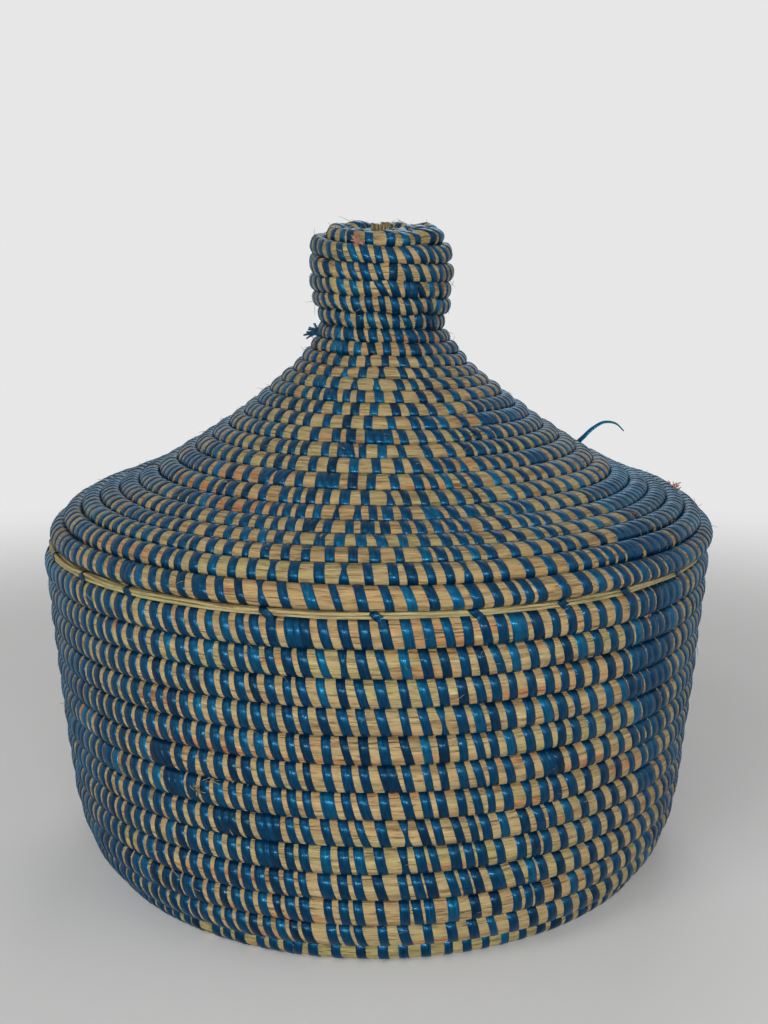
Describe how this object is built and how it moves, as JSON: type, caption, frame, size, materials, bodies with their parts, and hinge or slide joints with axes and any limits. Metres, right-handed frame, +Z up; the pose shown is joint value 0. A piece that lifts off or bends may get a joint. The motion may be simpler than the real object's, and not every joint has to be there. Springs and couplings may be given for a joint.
{
  "type": "lidded coiled basket",
  "caption": "Round coiled straw basket bound with blue strip, with a lift-off conical lid and a tall coiled knob.",
  "frame": {"origin": "on the basket's axis, in the plane that the basket stands on", "axes": "+Z up along the axis; the front of the picture looks along +Y"},
  "size_m": [0.3014, 0.3011, 0.2883],
  "materials": {
    "bound_straw_basket": "straw bundle bound with glossy blue plastic strip",
    "bound_straw_lid": "straw bundle bound with glossy blue plastic strip",
    "pale_straw": "bare dry straw",
    "knotted_straw": "dry straw, knotted tight"
  },
  "bodies": {
    "basket": {"base_start_knot": "knotted_straw", "base_coil": "bound_straw_basket", "wall_coil": "bound_straw_basket", "rim_coil": "bound_straw_basket", "rim_straw_band": "pale_straw"},
    "lid": {"knob_start_knot": "knotted_straw", "knob_top_coil": "bound_straw_lid", "knob_coil": "bound_straw_lid", "lid_cone_coil": "bound_straw_lid", "lid_edge_coil": "bound_straw_lid", "lid_locating_coil": "bound_straw_lid"}
  },
  "joints": [
    {"name": "lid_lift", "type": "slide", "parent": "basket", "child": "lid", "axis": [0, 0, 1], "range_m": [0, 0.2]}
  ]
}
